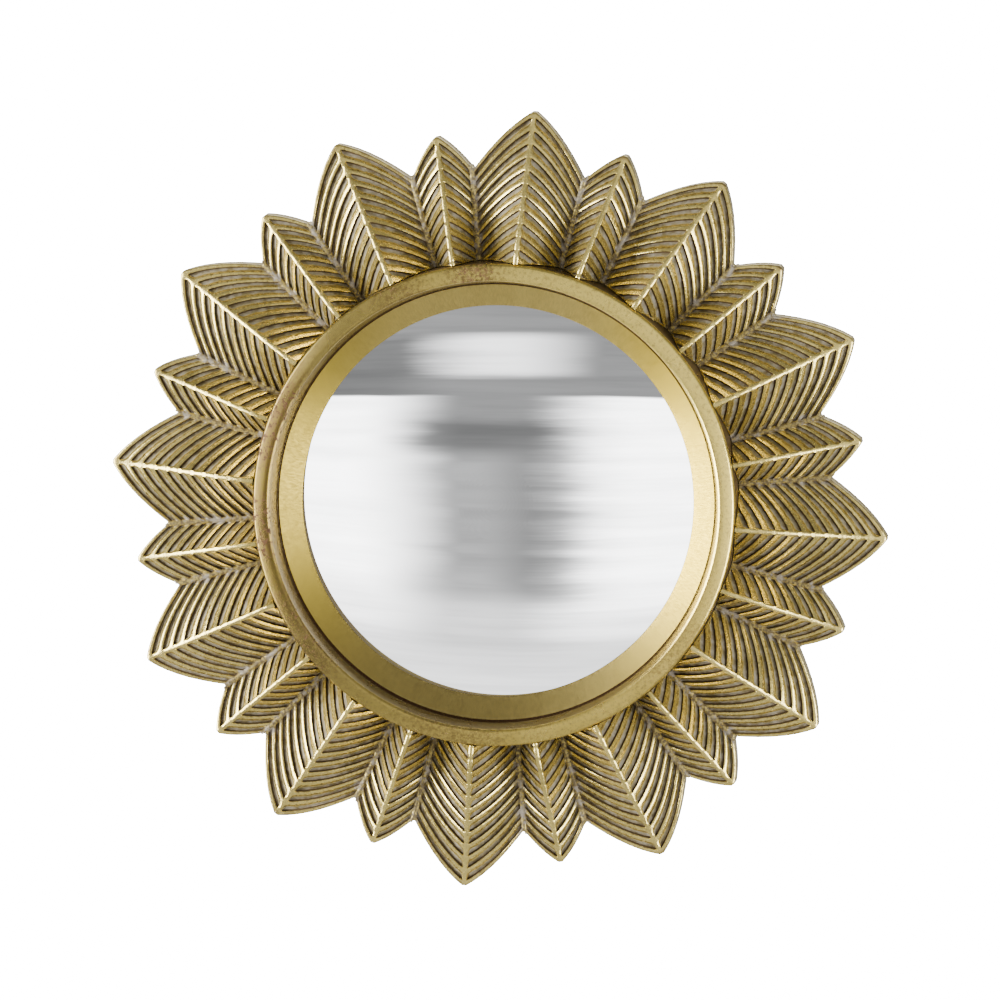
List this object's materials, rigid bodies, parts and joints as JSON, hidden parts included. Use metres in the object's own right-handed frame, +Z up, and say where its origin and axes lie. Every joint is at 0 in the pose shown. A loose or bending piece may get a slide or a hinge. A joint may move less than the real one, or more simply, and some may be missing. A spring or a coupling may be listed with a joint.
{
  "type": "convex wall mirror",
  "caption": "Round convex wall mirror in a cast sunburst frame of pleated, ribbed petals, with a raised ring and a metal slip round the glass; hangs on a wall by a swinging D-ring.",
  "frame": {"origin": "the point on the wall behind the centre of the mirror", "axes": "+Z up the wall, +Y into the wall, the glass faces -Y, +X to the viewer's right"},
  "size_m": [0.249, 0.028, 0.249],
  "materials": {
    "antique_gold": "cast resin, antique gold paint rubbed back, grey wax in the grooves",
    "ring_gold": "cast resin, satin antique gold, brown rub-through in patches",
    "brushed_gold": "spun metal, fine radial brushing",
    "silvered_glass": "polished, silvered behind",
    "foam": "closed-cell foam",
    "hardboard": "smooth brown hardboard",
    "plated_steel": "zinc plated",
    "felt": "needled black felt"
  },
  "bodies": {
    "mirror": {"petal_frame": "antique_gold", "ring_moulding": "ring_gold", "slip_ring": "brushed_gold", "convex_glass": "silvered_glass", "packing_pads": "foam", "back_board": "hardboard", "board_screws": "plated_steel", "ring_screws": "plated_steel", "hanger_strap": "plated_steel", "hanger_rivet": "plated_steel", "wall_pads": "felt"},
    "hanger": {"hanger_ring": "plated_steel"}
  },
  "joints": [
    {"name": "ring_swing", "type": "hinge", "parent": "mirror", "child": "hanger", "pos_m": [0, -0.0025, 0.052], "axis": [1, 0, 0], "range_deg": [0, 178]}
  ]
}
